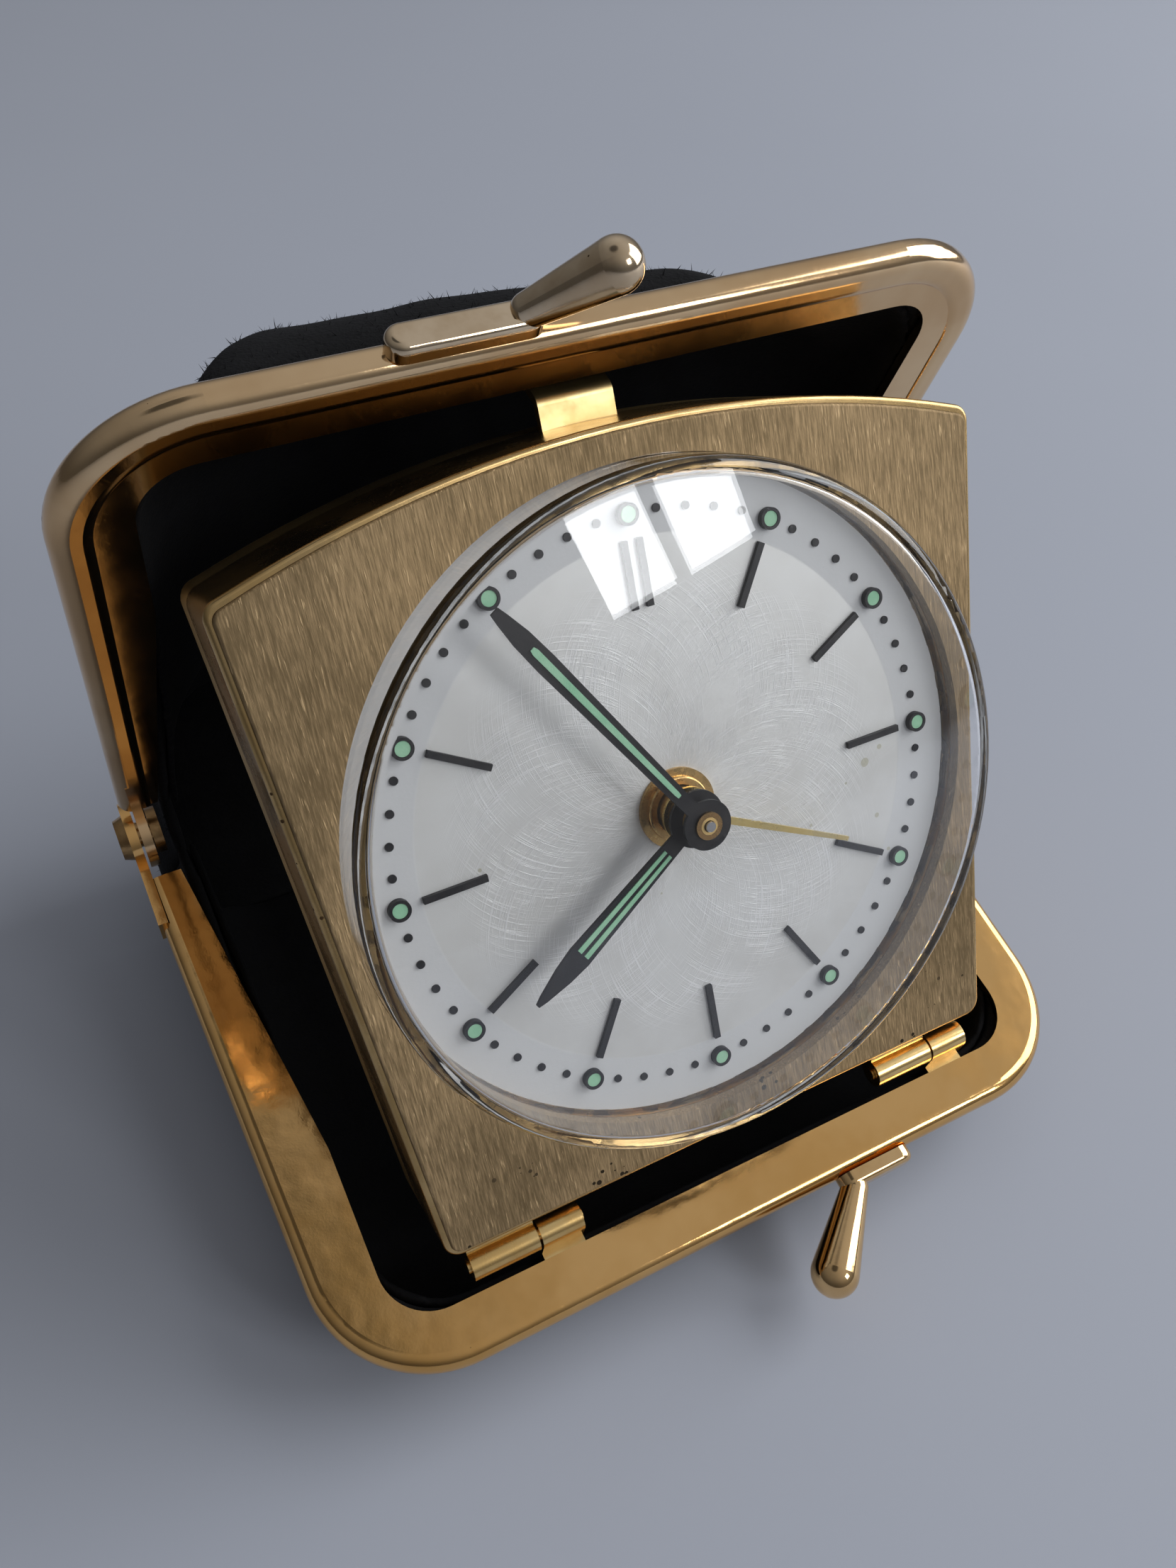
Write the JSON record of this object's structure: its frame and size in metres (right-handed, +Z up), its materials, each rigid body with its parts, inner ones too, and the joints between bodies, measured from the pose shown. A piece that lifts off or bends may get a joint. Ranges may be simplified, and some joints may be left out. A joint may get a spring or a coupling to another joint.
{
  "type": "travel alarm clock",
  "caption": "Wind-up travel alarm clock that folds out of a kiss-lock purse, with hinged gilt frames, soft suede shells, a domed dial case, setting knobs and winding keys.",
  "frame": {"origin": "middle of the flat under the lower shell, on which the open purse rests", "axes": "+Z up, -Y towards the front, where the dial faces, +X along the purse hinge to the viewer's right"},
  "size_m": [0.0692, 0.0699, 0.0695],
  "materials": {
    "lower_gilt": "polished gilt, worn",
    "upper_gilt": "polished gilt, pale",
    "hinge_gilt": "polished gilt",
    "suede": "napped suede",
    "lining_cloth": "matte",
    "case_gilt": "satin gilt",
    "plate_brass": "vertical grain",
    "crystal_clear": "clear, polished",
    "dial_silver": "silvered, brushed in swirls",
    "black_enamel": "semi-gloss",
    "lume": "matte",
    "collet_bronze": "satin",
    "alarm_brass": "polished",
    "movement_brass": "satin",
    "steel": "polished"
  },
  "bodies": {
    "base": {"lower_frame": "lower_gilt", "frame_rivets": "lower_gilt", "lower_clasp": "lower_gilt", "lower_shell": "suede", "lower_lining": "lining_cloth", "spine_gusset": "suede", "frame_knuckles": "hinge_gilt", "hinge_pins": "hinge_gilt"},
    "lid": {"upper_frame": "upper_gilt", "upper_clasp": "upper_gilt", "upper_shell": "suede", "upper_lining": "lining_cloth"},
    "clock": {"clock_knuckles": "hinge_gilt", "clock_case": "case_gilt", "lifting_tab": "hinge_gilt", "face_plate": "plate_brass", "crystal": "crystal_clear", "dial": "dial_silver", "hour_bars": "black_enamel", "hour_dot_rings": "black_enamel", "lume_dots": "lume", "minute_dots": "black_enamel", "centre_collet": "collet_bronze", "dial_spacer": "movement_brass", "front_plate": "movement_brass", "rear_plate": "movement_brass", "plate_pillars": "steel", "back_cover": "case_gilt", "case_screws": "steel"},
    "minute_work": {"cannon_pinion": "movement_brass", "minute_hand": "black_enamel", "minute_hand_lume": "lume", "hand_nut": "steel"},
    "hour_work": {"hour_wheel": "movement_brass", "hour_hand": "black_enamel", "hour_hand_lume": "lume"},
    "time_setting": {"minute_wheel": "movement_brass", "time_knob": "movement_brass"},
    "alarm_work": {"alarm_wheel": "movement_brass", "alarm_hand": "alarm_brass"},
    "alarm_setting": {"alarm_stem": "steel", "alarm_knob": "movement_brass"},
    "centre_train": {"centre_arbor": "movement_brass"},
    "third_train": {"third_wheel": "movement_brass"},
    "fourth_train": {"fourth_wheel": "movement_brass"},
    "escape_train": {"escape_wheel": "movement_brass"},
    "pallet": {"pallet_lever": "steel"},
    "balance": {"balance_wheel": "movement_brass", "hairspring": "steel"},
    "time_drum": {"time_barrel": "movement_brass", "time_mainspring": "steel"},
    "time_winding": {"time_winding_arbor": "steel", "time_key": "movement_brass"},
    "alarm_drum": {"alarm_barrel": "movement_brass", "alarm_mainspring": "steel"},
    "alarm_winding": {"alarm_winding_arbor": "steel", "alarm_key": "movement_brass"},
    "hammer": {"alarm_hammer": "steel"},
    "stop": {"alarm_stop": "steel"},
    "rate_lever": {"regulator": "steel"}
  },
  "joints": [
    {"name": "lid_hinge", "type": "hinge", "parent": "base", "child": "lid", "pos_m": [0, 0.0184, 0.0166], "axis": [1, 0, 0], "range_deg": [-20, 79.1], "deforming": ["spine_gusset", "upper_shell", "upper_lining"]},
    {"name": "clock_fold", "type": "hinge", "parent": "base", "child": "clock", "pos_m": [0, -0.02559, 0.01037], "axis": [1, 0, 0], "range_deg": [-52.4, 13.29]},
    {"name": "minute_turn", "type": "hinge", "parent": "clock", "child": "minute_work", "pos_m": [0, -0.01272, 0.03535], "axis": [0, -0.8858, 0.4641], "continuous": true},
    {"name": "hour_turn", "type": "hinge", "parent": "clock", "child": "hour_work", "pos_m": [0, -0.01272, 0.03535], "axis": [0, -0.8858, 0.4641], "continuous": true},
    {"name": "time_setting_turn", "type": "hinge", "parent": "clock", "child": "time_setting", "pos_m": [-0.00171, -0.01054, 0.03951], "axis": [0, -0.8858, 0.4641], "continuous": true},
    {"name": "alarm_turn", "type": "hinge", "parent": "clock", "child": "alarm_work", "pos_m": [0, -0.01272, 0.03535], "axis": [0, -0.8858, 0.4641], "continuous": true},
    {"name": "alarm_setting_turn", "type": "hinge", "parent": "clock", "child": "alarm_setting", "pos_m": [0, -0.01528, 0.03048], "axis": [0, -0.8858, 0.4641], "continuous": true},
    {"name": "fourth_turn", "type": "hinge", "parent": "clock", "child": "fourth_train", "pos_m": [-0.00608, -0.0145, 0.03195], "axis": [0, -0.8858, 0.4641], "continuous": true},
    {"name": "third_turn", "type": "hinge", "parent": "clock", "child": "third_train", "pos_m": [-0.00468, -0.01272, 0.03535], "axis": [0, -0.8858, 0.4641], "continuous": true},
    {"name": "centre_turn", "type": "hinge", "parent": "clock", "child": "centre_train", "pos_m": [0, -0.01272, 0.03535], "axis": [0, -0.8858, 0.4641], "continuous": true},
    {"name": "escape_turn", "type": "hinge", "parent": "clock", "child": "escape_train", "pos_m": [-0.0041, -0.01609, 0.02892], "axis": [0, -0.8858, 0.4641], "continuous": true},
    {"name": "time_barrel_turn", "type": "hinge", "parent": "clock", "child": "time_drum", "pos_m": [0.00709, -0.01042, 0.03975], "axis": [0, -0.8858, 0.4641], "continuous": true},
    {"name": "time_winding_turn", "type": "hinge", "parent": "clock", "child": "time_winding", "pos_m": [0.00709, -0.01042, 0.03975], "axis": [0, -0.8858, 0.4641], "continuous": true},
    {"name": "alarm_barrel_turn", "type": "hinge", "parent": "clock", "child": "alarm_drum", "pos_m": [-0.0086, -0.00743, 0.04545], "axis": [0, -0.8858, 0.4641], "continuous": true},
    {"name": "alarm_winding_turn", "type": "hinge", "parent": "clock", "child": "alarm_winding", "pos_m": [-0.0086, -0.00743, 0.04545], "axis": [0, -0.8858, 0.4641], "continuous": true},
    {"name": "balance_swing", "type": "hinge", "parent": "clock", "child": "balance", "pos_m": [0.00401, -0.01811, 0.02508], "axis": [0, -0.8858, 0.4641], "range_deg": [-40, 40]},
    {"name": "pallet_rock", "type": "hinge", "parent": "clock", "child": "pallet", "pos_m": [-0.00101, -0.01676, 0.02764], "axis": [0, -0.8858, 0.4641], "range_deg": [-6.5, 6.5]},
    {"name": "hammer_swing", "type": "hinge", "parent": "clock", "child": "hammer", "pos_m": [0.0135, -0.01574, 0.02959], "axis": [0, -0.8858, 0.4641], "range_deg": [-6, 6]},
    {"name": "stop_slide", "type": "slide", "parent": "clock", "child": "stop", "axis": [1, 0, 0], "range_m": [-0.0015, 0.0015]},
    {"name": "regulator_swing", "type": "hinge", "parent": "clock", "child": "rate_lever", "pos_m": [0.00401, -0.01811, 0.02508], "axis": [0, -0.8858, 0.4641], "range_deg": [-20, 20]}
  ],
  "couplings": [
    {"joint": "clock_fold", "follows": "lid_hinge", "ratio": -0.66182},
    {"joint": "hour_turn", "follows": "minute_turn", "ratio": 0.083333},
    {"joint": "time_setting_turn", "follows": "minute_turn", "ratio": -0.33333},
    {"joint": "alarm_setting_turn", "follows": "alarm_turn", "ratio": -4},
    {"joint": "third_turn", "follows": "fourth_turn", "ratio": -0.13333},
    {"joint": "centre_turn", "follows": "fourth_turn", "ratio": 0.016667},
    {"joint": "escape_turn", "follows": "fourth_turn", "ratio": -10},
    {"joint": "time_barrel_turn", "follows": "fourth_turn", "ratio": -0.0019841},
    {"joint": "pallet_rock", "follows": "balance_swing", "ratio": -0.15}
  ]
}
